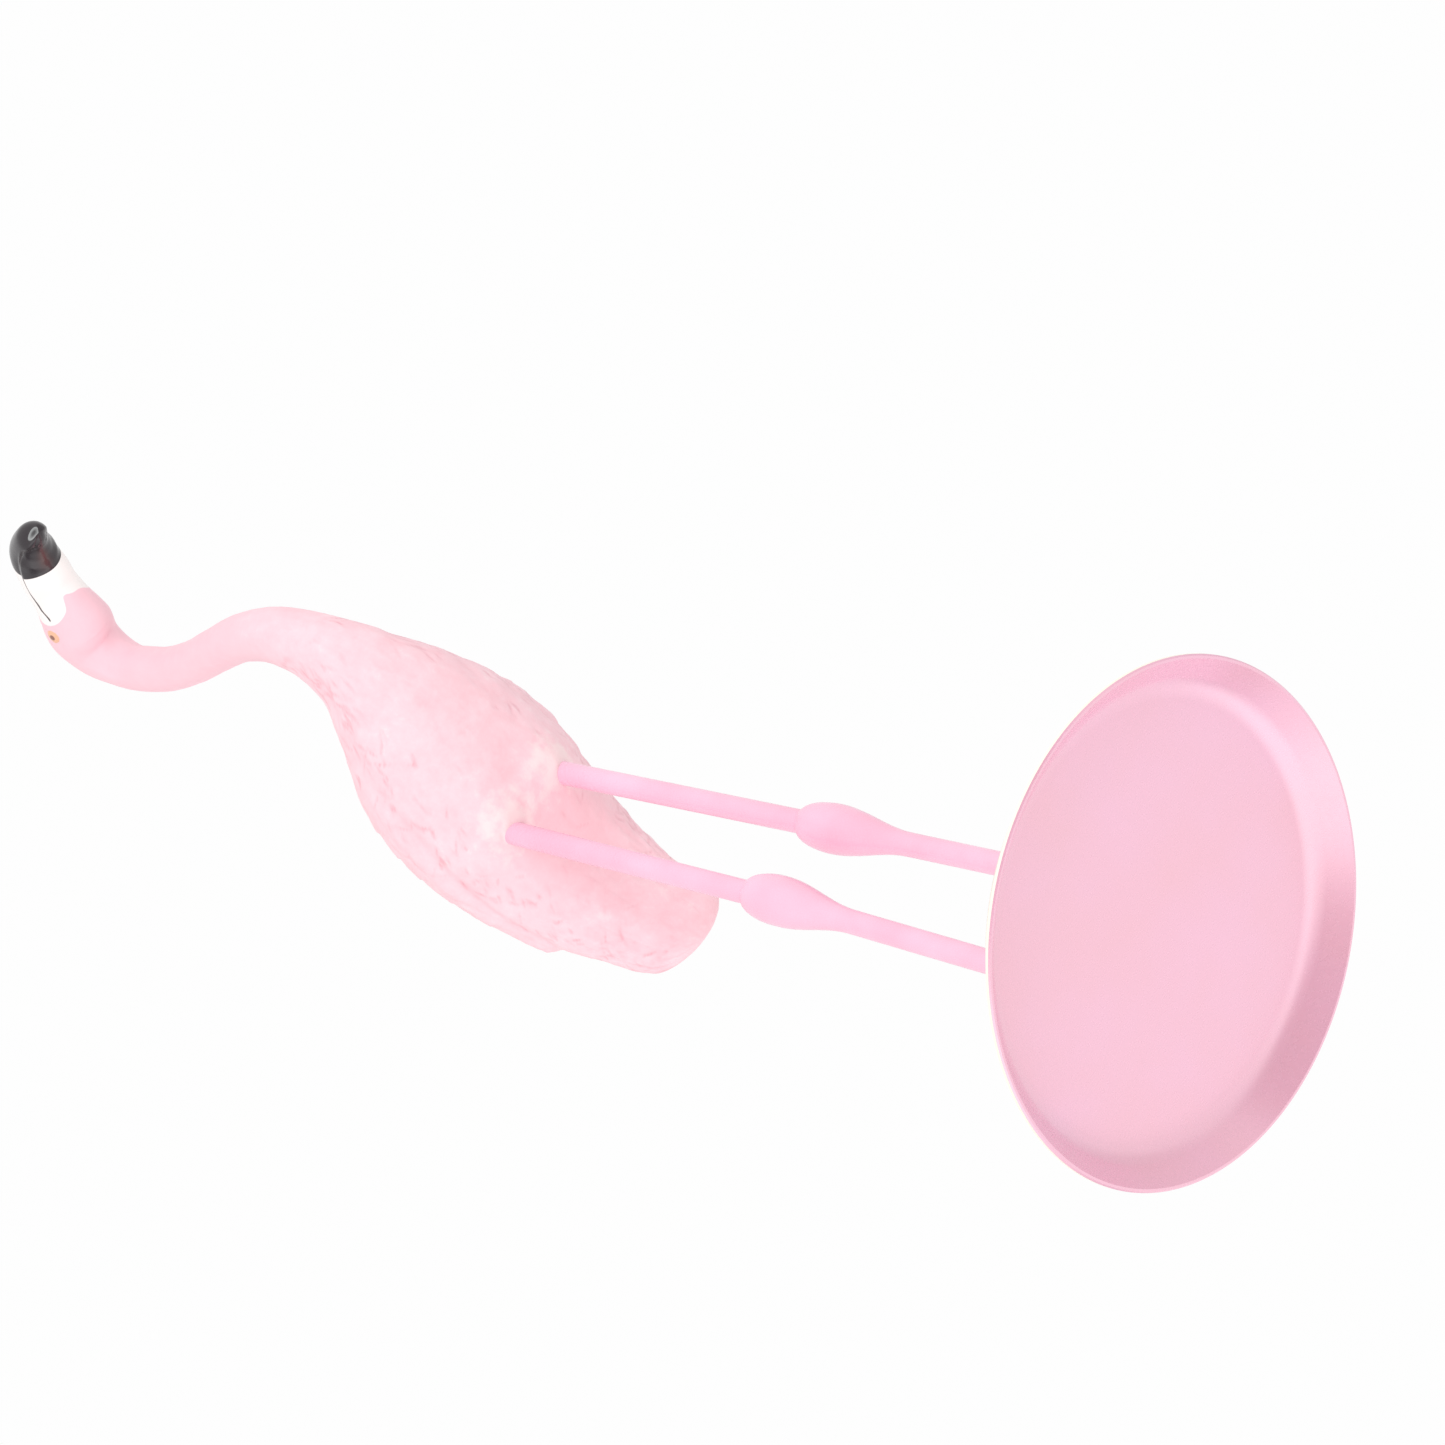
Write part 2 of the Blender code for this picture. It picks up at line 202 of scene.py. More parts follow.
HOOK_LENGTH = 4
CHEEK_FULLNESS = 0.35
CHEEK_BACK = 18
CHEEK_LENGTH = 6
UNDERSIDE = (0.1, 0.6)
CHIN_FULLNESS = 0.55
CHIN_BACK = 32
CHIN_LENGTH = 5
THROAT_HOLLOW = 1.0
THROAT_HOLLOW_BACK = 45
THROAT_HOLLOW_LENGTH = 4
NAIL_HALF_WIDTH = 1.7
NAIL_HALF_DEPTH = 0.75
NAIL_ABOVE = 0.8
NAIL_SIDE = -0.7
NAIL_TILT = math.radians(-12)
NAIL_RISE = 0.3
# Darker dot in the middle of the nail's painted highlight
HIGHLIGHT_DOT = 0.3
NAIL_REACH = 4
THROAT_BACK = 44
THROAT_LENGTH = 6
THROAT_SIDES = (-0.3, 0.3)
THROAT_PASSES = 60
EYE_BACK = 29.5
EYE_ANGLE = math.radians(-2)
EYE_RADIUS = 1.55
PUPIL_RADIUS = 0.65
EYE_RISE = 0.45
NOSTRIL_BACK = 18.5
NOSTRIL_ANGLE = math.radians(48)
NOSTRIL_LENGTH = 1.6
NOSTRIL_WIDTH = 0.35
NOSTRIL_DEPTH = 0.25

# Places of painted shade behind the legs and of a painted pink reflection on the beak: distance from the
# tail or the beak's end, angle below the side, and reach
HOLLOW_SHADE_PLACE = (37, math.radians(84))
HOLLOW_SHADE_REACH = (11, 0.75)
REFLECTION_PLACE = (5.5, math.radians(108))
REFLECTION_REACH = (3.5, 0.3)

# Legs and feet
HIP = (1.1, 172, 8.5)
KNEE = (-2.8, 98.4, 9.7)
FOOT = (-10, 12, 12.3)
LEG_RADIUS = 2.4
KNEE_SWELL = 2.6
KNEE_RISE = 8.5
KNEE_FALL = 19
KNEE_RISE_STEPS = 14
KNEE_FALL_STEPS = 24
LEG_END = 7
LEG_ROUNDNESS = 10
FOOT_LENGTH = 21
FOOT_HEEL = 4.5
WEB_THICKNESS = 1
TOE_RISE = 1.3
TOE_WIDTH = 1.5
TOE_SPREAD = math.radians(27)
TOE_TURN_OUT = math.radians(8)
TOE_FADE = 0.45
TOE_JOINTS = 3
JOINT_RISE = 0.22
WEB_SCALLOP = 0.2
WEB_PAST_TOE = math.radians(8)
HEEL_TURN = math.radians(50)
HEEL_START = 0.9
FOOT_EDGE = 0.55
FOOT_EDGE_START = 0.94
FOOT_SIDES = 144
FOOT_RINGS = 20
LEG_SHARP_ANGLE = math.radians(40)

# Base: an inverted dish
RIM_WIDTH = 0.8
RIM_CHAMFER = 0.3
UPRIGHT_EDGE = 0.9
SIDE_SLOPE = math.radians(44)
SHOULDER_RADIUS = 8
RECESS_DEPTH = 5.9
RECESS_SLOPE = math.radians(47)
RECESS_FILLET = 6.5
BASE_SIDES = 256
CURVE_POINTS = 24
LEVEL_RINGS = 6
BASE_SHARP_ANGLE = math.radians(30)
FACES_DOWN = -0.2
DISH_MARGIN = 0.1
DISH_IOR = 2.4
IVORY_END = (3.2, 5)
IVORY_WAVE = 0.3

# Colours, linear
PALE_PINK = (0.95, 0.665, 0.72)
DEEP_PINK = (0.94, 0.54, 0.6)
WHITE_PINK = (0.96, 0.77, 0.76)
NECK_PINK = (0.935, 0.565, 0.64)
# Painted shade: deeper pink laid in the cut strokes, under the wing's edge and along the feather shafts
CARVING_SHADE_PINK = (0.7, 0.27, 0.33)
BEAK_WHITE = (0.93, 0.87, 0.85)
BEAK_BLACK = (0.028, 0.022, 0.026)
# Painted reflection: the pink body mirrored as reddish brown on the black beak
BEAK_REFLECTED_PINK = (0.085, 0.032, 0.03)
# Painted highlight: the raised nail at the beak's end is painted a lighter grey
NAIL_HIGHLIGHT_GREY = (0.3, 0.31, 0.31)
MOUTH_GREY = (0.08, 0.06, 0.06)
EYE_ORANGE = (0.86, 0.47, 0.3)
PUPIL_BROWN = (0.28, 0.12, 0.09)
LEG_PINK = (0.92, 0.55, 0.7)
LEG_DEEP_PINK = (0.9, 0.46, 0.6)
DISH_PINK = (0.865, 0.45, 0.605)
DISH_DEEP_PINK = (0.855, 0.435, 0.545)
IVORY = (0.93, 0.86, 0.74)
SAND = (0.78, 0.7, 0.62)
FLOOR_WHITE = (0.72, 0.71, 0.71)

# Paint: sizes of its patterns, where it changes and how far, shares and roughness; a BUMP has its
# depth and its strength
PAINT_EDGE = 0.08
CLOUD_SIZE = 9
BLOTCH_SIZE = 3.2
FLECK_SIZE = 1.2
PORE_SIZE = 0.8
TONE_MIDDLE = 0.5
# Painted shade: how far the tone follows the carving's lumps and grain, and each feather's height
CARVING_SHADE_TONE = 0.15
FEATHER_SHADE_TONE = 0.35
TONE_CHANGES = (0.12, 0.16, 0.14)
PALE_TONE = (0, 0.9)
LIGHT_TONE = (0.7, 1)
LIGHT_SHARE = 0.5
CREVICE_SHADE = 0.35
SHAFT_SHADE = 0.5
CARVING_SHADE_EDGE = (0.4, 0.6)
CARVING_SHADE_SHARES = (0.15, 0.6)
NECK_START = (0.42, 0.6)
NECK_SHARE = 0.65
HOLLOW_SHADE_SHARE = 0.8
TUFT_EDGE = (0.4, 0.9)
TUFT_SHARE = 0.65
TUFT_RAGGED = 0.35
WHITE_EDGE = 0.1
MOUTH_EDGE = (0.22, 0.36)
# Painted highlight: on the black, the mouth line is a faint lighter line
MOUTH_HIGHLIGHT_ON_BLACK = 0.3
NOSTRIL_EDGE = (0.7, 1.1)
NAIL_EDGE = (0.9, 1)
HIGHLIGHT_DOT_EDGE = 0.85
HIGHLIGHT_DOT_SHARE = 0.25
BIRD_ROUGHNESS = (0.42, 0.6)
WHITE_SMOOTHER = 0.12
BLACK_SMOOTHER = 0.22
BIRD_BUMP = (0.05, 0.6)
LEG_CLOUD_SIZE = 18
LEG_TONE = (0.35, 0.7)
LEG_ROUGHNESS = (0.22, 0.34)
LEG_BUMP = (0.03, 0.1)
SAND_FLECK_SIZE = 0.9
SAND_TONE = (0.3, 0.75)
SAND_SHARE = 0.35
SAND_ROUGHNESS = (0.35, 0.5)
SAND_BUMP = (0.04, 0.6)
DISH_CLOUD_SIZE = 26
DISH_FLECK_SIZE = 1.4
DISH_WAVE_SIZE = 30
DISH_ROUGHNESS = (0.24, 0.3)
DISH_BUMP = (0.3, 0.5)

# Stage: ranges, sizes and distances here are in metres, the sensor and the height aimed at in millimetres
SENSOR_WIDTH = 36
VIEW_RANGE = (0.05, 20)
FLOOR_SIZE = 3
FLOOR_DROP = 0.0002
FLOOR_ROUGHNESS = 0.8
LIGHT_DISTANCE = 1.2
LIGHT_AIM = 150
SEEN_WHITE = 0.99
SOFT_LIGHT = 0.94


# Helpers


def smooth_step(value, start, end):
    share = np.clip((value - start) / (end - start), 0, 1)
    return share * share * (3 - 2 * share)


def hump(value, middle, width):
    """1 at the middle, falling smoothly to 0 on both sides."""
    return np.exp(-(((value - middle) / width) ** 2))


def place(forward, up, side):
    """A point of the figure in metres: forward is -Y, side is +X for the bird's left."""
    return Vector((side, -forward + SHIFT, up)) * MM


def smooth_mesh(name, points, faces):
    """A mesh object in the scene, with smooth faces."""
    mesh = bpy.data.meshes.new(name)
    mesh.from_pydata(points, [], faces)
    mesh.shade_smooth()
    obj = bpy.data.objects.new(name, mesh)
    bpy.context.scene.collection.objects.link(obj)
    return obj


def turn_outwards(obj):
    """Joins points that coincide and turns the faces outwards."""
    shape = bmesh.new()
    shape.from_mesh(obj.data)
    bmesh.ops.remove_doubles(shape, verts=shape.verts, dist=SAME_POINT * MM)
    bmesh.ops.recalc_face_normals(shape, faces=shape.faces)
    shape.to_mesh(obj.data)
    shape.free()


def shape_of(obj):
    """A new mesh of the object as its modifiers leave it."""
    graph = bpy.context.evaluated_depsgraph_get()
    return bpy.data.meshes.new_from_object(obj.evaluated_get(graph))


def field(obj, name, values):
    """Keeps one number for each vertex, for the materials."""
    attribute = obj.data.attributes.new(name, "FLOAT", "POINT")
    attribute.data.foreach_set("value", np.ascontiguousarray(values, np.float32).ravel())


class Graph:
    """Short names for the nodes of a material or of the world."""

    def __init__(self, owner, shader="Principled BSDF"):
        self.owner = owner
        self.owner.use_nodes = True
        self.tree = self.owner.node_tree
        self.shader = self.tree.nodes[shader]

    def put(self, socket, value):
        if isinstance(value, bpy.types.NodeSocket):
            self.tree.links.new(value, socket)
        elif isinstance(value, tuple) and socket.type == "RGBA":
            socket.default_value = (*value, 1)
        else:
            socket.default_value = value

    def node(self, kind, output, inputs, **settings):
        node = self.tree.nodes.new(kind)
        for key, value in settings.items():
            setattr(node, key, value)
        for key, value in inputs.items():
            self.put(node.inputs[key], value)
        return node.outputs[output]

    def place(self):
        return self.node("ShaderNodeTexCoord", "Object", {})

    def field(self, name):
        return self.node("ShaderNodeAttribute", "Fac", {}, attribute_name=name)

    def noise(self, vector, size, detail, roughness=0.55):
        scale = 1 / (size * MM)
        inputs = {"Vector": vector, "Scale": scale, "Detail": detail, "Roughness": roughness}
        return self.node("ShaderNodeTexNoise", 0, inputs)

    def remap(self, value, low, high, new_low=0.0, new_high=1.0):
        inputs = {"Value": value, 1: low, 2: high, 3: new_low, 4: new_high}
        return self.node("ShaderNodeMapRange", 0, inputs)

    def spread(self, pattern, low, high):
        """A noise pattern's usual range, spread from low to high."""
        return self.remap(pattern, 0.3, 0.7, low, high)

    def disc(self, name, radius):
        """1 where a field is below the radius, with a thin soft edge."""
        return self.remap(self.field(name), radius - PAINT_EDGE, radius + PAINT_EDGE, 1, 0)

    def maths(self, operation, first, second):
        return self.node("ShaderNodeMath", 0, {0: first, 1: second}, operation=operation)

    def mix(self, share, first, second):
        inputs = {0: share, 6: first, 7: second}
        return self.node("ShaderNodeMix", 2, inputs, data_type="RGBA")

    def bump(self, height, distance, strength):
        inputs = {"Height": height, "Distance": distance * MM, "Strength": strength}
        return self.node("ShaderNodeBump", 0, inputs)

    def set(self, **inputs):
        for key, value in inputs.items():
            self.put(self.shader.inputs[key.replace("_", " ")], value)
        return self.owner


# The bird's form


class Spine:
    """The smooth curve through the rows of FORM, with the form's sizes along it."""

    def __init__(self, rows, distances):
        rows = np.array(rows, float)
        steps = np.linalg.norm(np.diff(rows[:, :2], axis=0), axis=1)
        at = np.concatenate([[0], np.cumsum(steps)])
        slopes = np.gradient(rows, at, axis=0)
        index = np.clip(np.searchsorted(at, distances) - 1, 0, len(at) - 2)
        span = (at[index + 1] - at[index])[:, None]
        share = ((distances - at[index]) / span[:, 0])[:, None]
        ease = share * share * (3 - 2 * share)
        values = rows[index] * (1 - ease) + rows[index + 1] * ease
        values += slopes[index] * span * share * (1 - share) ** 2
        values -= slopes[index + 1] * span * share**2 * (1 - share)
        along = np.gradient(values[:, :2], distances, axis=0)
        along /= np.linalg.norm(along, axis=1)[:, None]
        self.centre = values[:, :2]
        self.width, self.above, self.below = values[:, 2:].T
        self.out = np.stack([-along[:, 1], along[:, 0]], axis=1)


def spine_length(rows):
    steps = np.diff(np.array(rows, float)[:, :2], axis=0)
    return float(np.linalg.norm(steps, axis=1).sum())


def end_share(distance, length):
    """Closes both ends of the form with a rounded cap."""
    tail = np.clip(distance / TAIL_ROUNDING, 0, 1)
    beak = np.clip((length - distance) / BEAK_ROUNDING, 0, 1)
    return np.sqrt(1 - (1 - tail) ** 2) * np.sqrt(1 - (1 - beak) ** 2)


def ring_distances(length):
    """Even rings along the spine, closer together in the two rounded ends."""
    angles = np.linspace(0, math.pi / 2, END_RINGS + 1)[1:]
    tail = TAIL_ROUNDING * (1 - np.cos(angles))
    beak = length - BEAK_ROUNDING * (1 - np.cos(angles[::-1]))
    middle = np.linspace(tail[-1], beak[0], RINGS + 2)[1:-1]
    return np.concatenate([tail, middle, beak])


def wing_shares(share, turn):
    """How far along a wing a point is, whether it is on it, and its distance below the wing's edge."""
    below = -np.arcsin(np.sin(turn))
    along = np.clip((share - WING_TIP) / (WING_SHOULDER - WING_TIP), 0, 1)
    edge = WING_DROP * np.sin(math.pi * along**WING_FULLEST) - WING_TIP_LIFT * (1 - along)
    side = smooth_step(edge - below, 0, WING_EDGE)
    parting = smooth_step(WING_PARTING + below, 0, WING_EDGE)
    ends = smooth_step(share, WING_TIP, WING_TIP + WING_TIP_FADE)
    ends = ends * (1 - smooth_step(share, WING_SHOULDER - WING_SHOULDER_FADE, WING_SHOULDER))
    return along, side * parting * ends, below - edge


def feather_tiles(row, column):
    """Height of overlapping feathers, and how near a point is to a feather's shaft."""
    first = np.floor(row)
    height = 0
    shaft = 0
    cover = 0
    for step in (0, 1):
        rank = first - step
        reach = row - rank
        centre = np.round(column - 0.5 * (rank % 2)) + 0.5 * (rank % 2)
        across = np.abs(column - centre)
        half = FEATHER_HALF_WIDTH * np.sqrt(1 - (1 - np.clip(reach, 0, 1)) ** 2)
        inside = smooth_step(half - across, 0, FEATHER_SOFT) if step == 0 else 1
        height = height + (1 - cover) * inside * (1 - reach / 2)
        shaft = shaft + (1 - cover) * inside * hump(across, 0, SHAFT_WIDTH)
        cover = inside if step == 0 else 1
    return height, shaft


def tuft_rise(points):
    """Height of the two swellings around the tops of the legs."""
    rise = 0
    for side in (-1, 1):
        root = np.array([HIP[0] + TUFT_FORWARD, HIP[1] + TUFT_UP, side * HIP[2]])
        apart = np.linalg.norm(points - root, axis=-1) / TUFT_REACH
        rise = rise + TUFT_RISE * np.exp(-apart * apart)
    return rise


def soft_noise(places, size, octaves):
    """Smooth noise from -1 to 1 at each place, with features of that size."""
    flat = places.reshape(-1, 3) / size
    values = [noise.fractal(spot, 1, 2, octaves) for spot in flat]
    return np.array(values).reshape(places.shape[:-1])


def cut_strokes(distances, turns, radius, length):
    """Short strokes cut along the feathers, over the tail and the body, most of them on the flanks."""
    chance = random.Random(SEED)
    cut = np.zeros((len(distances), len(turns)))
    for _ in range(STROKES):
        middle = length * STROKES_REACH * chance.random() ** STROKES_CROWDING + STROKES_START
        around = chance.uniform(-math.pi, math.pi)
        depth = chance.uniform(*STROKE_STRENGTH)
        if chance.random() < FLANK_STROKES:
            depth += FLANK_STRENGTH
            flank = chance.choice((0, math.pi))
            around = flank + math.cos(flank) * chance.gauss(-WING_DROP, WING_DROP)
        half = chance.uniform(*STROKE_LENGTH) / 2
        slant = chance.gauss(0, STROKE_SLANT)
        bend = chance.gauss(0, STROKE_BEND)
        rows = np.abs(distances - middle) < half
        if not rows.any():
            continue
        along = (distances[rows] - middle)[:, None]
        apart = (turns - around + math.pi) % (2 * math.pi) - math.pi
        across = apart[None, :] * radius[rows][:, None] - slant * along - bend * along**2
        shape = hump(across, 0, STROKE_WIDTH) * (1 - (along / half) ** 2)
        cut[rows] = np.maximum(cut[rows], depth * shape)
    return cut


# The bird


def mirrored_apart(turn, angle):
    """Angle between a point and the nearer of two places, one on each side of the head."""
    opposite = np.mod(turn + angle, 2 * math.pi) - math.pi
    return np.minimum(np.abs(turn - angle), np.abs(opposite))


def head_paint_fields(back, turn, width, depth):
    """Distances, mostly in millimetres, that mark the painted areas of the head."""
    low = turn < 0
    side = np.cos(turn) ** 2
    past_lobe = np.abs(turn) - LOBE_ANGLE
    lobe = LOBE_REACH * hump(past_lobe, 0, np.where(past_lobe > 0, LOBE_STEP, LOBE_WIDTH)) * low
    around = (width + depth) / 2
    return {
        "black": BLACK_LENGTH + BLACK_SIDE * side - back,
        "white": WHITE_LENGTH + WHITE_SIDE * side - lobe - back,
        "eye": np.hypot(back - EYE_BACK, mirrored_apart(turn, EYE_ANGLE) * around),
        "nostril": np.hypot(
            (back - NOSTRIL_BACK) / NOSTRIL_LENGTH,
            mirrored_apart(turn, NOSTRIL_ANGLE) * around / NOSTRIL_WIDTH,
        ),
    }


def bill_form(back, turn, depth):
    """Distance from the mouth's line, and how far the head's form stands out or is drawn in."""
    height = depth * np.sin(turn)
    line = MOUTH_ARCH * hump(back, MOUTH_ARCH_BACK, MOUTH_ARCH_LENGTH)
    line = line - MOUTH_DROOP * smooth_step(back, MOUTH_CORNER - MOUTH_CORNER_LENGTH, MOUTH_CORNER)
    line = line - MOUTH_FALL * np.clip(MOUTH_TURN - back, 0, None) ** 2
    past_corner = np.clip(back - MOUTH_CORNER, 0, None)
    mouth = np.hypot(height - line, past_corner * 2)
    swell = smooth_step(back, LOWER_BILL_START, LOWER_BILL_START + LOWER_BILL_FADE)
    swell = swell * (1 - smooth_step(back, *LOWER_BILL_END))
    shape = LOWER_BILL_SWELL * swell * smooth_step(line - height, -LOWER_BILL_EDGE, 0)
    under = smooth_step(-np.sin(turn), *UNDERSIDE)
    shape = shape + under * CHIN_FULLNESS * hump(back, CHIN_BACK, CHIN_LENGTH)
    shape = shape - under * THROAT_HOLLOW * hump(back, THROAT_HOLLOW_BACK, THROAT_HOLLOW_LENGTH)
    tip = 1 - smooth_step(back, LOWER_TIP_START, LOWER_BILL_START + 1)
    shape = shape - under * LOWER_TIP_DRAWN_IN * tip
    upper = smooth_step(height - line, 0, 1)
    shape = shape - HOOK_DRAWN_IN * upper * hump(back, HOOK_BACK, HOOK_LENGTH)
    shape = shape + CHEEK_FULLNESS * np.cos(turn) ** 2 * hump(back, CHEEK_BACK, CHEEK_LENGTH)
    return mouth, shape


def smooth_along(points, share):
    """Softens the form along the spine, where the share is 1, so that a tight bend keeps no crease."""
    soft = points.copy()
    for _ in range(THROAT_PASSES):
        soft[1:-1] = soft[1:-1] / 2 + (soft[:-2] + soft[2:]) / 4
    return points + (soft - points) * share[..., None]


def nail_field(points, back, tip, above):
    """Distance from the nail's middle at the beak's end: 1 at its edge."""
    aside = (points - tip)[..., 2] - NAIL_SIDE
    over = (points - tip) @ above - NAIL_ABOVE
    long_way = aside * math.cos(NAIL_TILT) - over * math.sin(NAIL_TILT)
    short_way = over * math.cos(NAIL_TILT) + aside * math.sin(NAIL_TILT)
    nail = np.hypot(long_way / NAIL_HALF_WIDTH, short_way / NAIL_HALF_DEPTH)
    return np.where(back < NAIL_REACH, nail, 9)


def skin_mesh(name, points, start, end):
    """Closes the rings of points with a point at each end, kept inside the bird's box."""
    flat = np.concatenate([[start], points.reshape(-1, 3), [end]])
    spots = np.stack([flat[:, 2], SHIFT - flat[:, 0], flat[:, 1]], axis=1) * MM
    spots[:, 1] = np.maximum(spots[:, 1], BIRD_LOW.y)
    spots[:, 2] = np.minimum(spots[:, 2], BIRD_HIGH.z)
    faces = []
    rings = len(points)
    for side in range(SIDES):
        other = (side + 1) % SIDES
        faces.append((0, 1 + other, 1 + side))
        for level in range(rings - 1):
            low = 1 + level * SIDES
            high = low + SIDES
            faces.append((low + side, low + other, high + other, high + side))
        top = 1 + (rings - 1) * SIDES
        faces.append((len(flat) - 1, top + side, top + other))
    return smooth_mesh(name, spots.tolist(), faces)


def make_bird():
    length = spine_length(FORM)
    distances = ring_distances(length)[:-1]
    turns = np.arange(SIDES) * 2 * math.pi / SIDES - math.pi
    spine = Spine(FORM, distances)
    ring = distances[:, None]
    back = length - ring
    turn = np.broadcast_to(turns, (len(distances), SIDES))
    share = ring / length
    cap = end_share(ring, length)
    width = spine.width[:, None]
    depth = np.where(turn > 0, spine.above[:, None], spine.below[:, None])
    out_part = depth * cap * np.sin(turn)
    points = np.stack(
        [
            spine.centre[:, :1] + spine.out[:, :1] * out_part,
            spine.centre[:, 1:] + spine.out[:, 1:] * out_part,
            width * cap * np.cos(turn),
        ],
        axis=-1,
    )
    slope = np.stack([np.cos(turn) / width, np.sin(turn) / depth])
    slope /= np.linalg.norm(slope, axis=0)
    outward = np.stack([spine.out[:, :1] * slope[1], spine.out[:, 1:] * slope[1], slope[0]], axis=-1)

    # Wings, tail and the swellings at the legs
    along, on_wing, below_edge = wing_shares(share, turn)
    row = FEATHER_ROWS * along**FEATHER_SPACING
    tiles, shafts = feather_tiles(row, turn / FEATHER_ANGLE)
    rise = WING_RISE * on_wing + tuft_rise(points)
    rise = rise + FEATHER_RISE * on_wing * (tiles - FEATHER_MIDDLE)
    tail_part = 1 - smooth_step(share, WING_TIP - TAIL_FADE[0], WING_TIP + TAIL_FADE[1])
    tail_part = tail_part * smooth_step(ring, 0, TAIL_START)
    vanes = np.abs(np.sin(turn * TAIL_FEATHERS / 2))
    rise = rise + TAIL_FEATHER_RISE * tail_part * (vanes**0.5 - TAIL_FEATHER_MIDDLE)

    # Lumps, grain, strokes and the crevice below the wing's edge
    body = 1 - smooth_step(share, *BODY_END)
    neck = 1 - smooth_step(share, *NECK_END)
    lumps = soft_noise(points, LUMP_SIZE, 2)
    lengthwise = np.broadcast_to(ring * GRAIN_FLOW, turn.shape)
    flow = np.stack([np.cos(turn) * width, np.sin(turn) * width, lengthwise], axis=-1)
    grain = soft_noise(flow, GRAIN_SIZE, 2)
    off_wing = 1 - LUMPS_OFF_WING * on_wing
    rise = rise + LUMP_RISE * lumps * (LUMPS_ON_NECK * neck + LUMPS_ON_BODY * body) * off_wing
    rise = rise + GRAIN_RISE * grain * (GRAIN_ON_NECK * neck + GRAIN_ON_BODY * body)
    radius = (spine.width + spine.above + spine.below) / 3
    cut = cut_strokes(distances, turns, radius, length) * (1 - STROKES_OFF_WING * on_wing)
    rise = rise - STROKE_DEPTH * cut
    crevice = hump(below_edge, CREVICE_BELOW, CREVICE_WIDTH)
    crevice = crevice * smooth_step(share, WING_TIP, WING_TIP + CREVICE_TIP_FADE)
    fade, end = CREVICE_SHOULDER_FADE
    crevice = crevice * (1 - smooth_step(share, WING_SHOULDER - fade, WING_SHOULDER - end))
    rise = rise - CREVICE_DEPTH * crevice

    # Head
    fields = head_paint_fields(back, turn, width, depth)
    mouth, head_shape = bill_form(back, turn, depth)
    rise = rise - MOUTH_DEPTH * hump(mouth, 0, MOUTH_WIDTH) + head_shape
    rise = rise + EYE_RISE * np.sqrt(np.clip(1 - (fields["eye"] / EYE_RADIUS) ** 2, 0, 1))
    rise = rise - NOSTRIL_DEPTH * np.exp(-(fields["nostril"] ** 2))
    points = points + outward * (rise * cap)[..., None]
    throat = np.exp(-(((back - THROAT_BACK) / THROAT_LENGTH) ** 4))
    points = smooth_along(points, throat * smooth_step(-np.sin(turn), *THROAT_SIDES))
    tip = np.array([FORM[-1][0], FORM[-1][1], 0])
    above = np.append(spine.out[-1], 0)
    heading = np.array([above[1], -above[0], 0])
    nail = nail_field(points, back, tip, above)
    points = points + heading * (NAIL_RISE * np.sqrt(np.clip(1 - nail**2, 0, 1)))[..., None]
    start = np.append(spine.centre[0], 0)
    bird = skin_mesh("flamingo_body", points, start, tip + heading * NAIL_RISE * 0.5)

    # Fields for the paint
    # Painted shade: deeper pink in the hollow behind and between the legs
    shade_ring = (ring - HOLLOW_SHADE_PLACE[0]) / HOLLOW_SHADE_REACH[0]
    shade_turn = (turn + HOLLOW_SHADE_PLACE[1]) / HOLLOW_SHADE_REACH[1]
    # Painted reflection: reddish brown on the black beak's lower side, where the pink body is mirrored
    rust_back = (back - REFLECTION_PLACE[0]) / REFLECTION_REACH[0]
    rust_turn = (turn + REFLECTION_PLACE[1]) / REFLECTION_REACH[1]
    # Painted shade in the cut strokes, in the crevice under the wing's edge and along the feather shafts
    shadow = CREVICE_SHADE * crevice + SHAFT_SHADE * on_wing * (1 - tiles) * shafts
    # Painted shade on a random tone: paler on the raised lumps and grain, deeper in their low parts and
    # changing with each feather's height
    tone = TONE_MIDDLE + CARVING_SHADE_TONE * lumps + CARVING_SHADE_TONE * grain
    fields.update(
        wash=np.clip(cut + shadow, 0, 1),
        tone=tone - FEATHER_SHADE_TONE * on_wing * (tiles - FEATHER_MIDDLE),
        hollow=np.exp(-(shade_ring**2) - shade_turn**2),
        tuft=np.clip(tuft_rise(points) / TUFT_RISE, 0, 1),
        mouth=mouth,
        neck=smooth_step(share, *NECK_START),
        nail=nail,
        rust=np.exp(-(rust_turn**2) - rust_back**2),
    )
    for name, values in fields.items():
        values = np.broadcast_to(values, turn.shape).ravel()
        field(bird, name, np.concatenate([[values[0]], values, [values[-1]]]))
    bird.data.materials.append(bird_paint())
    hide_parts("bird")
    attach(bird, "root")


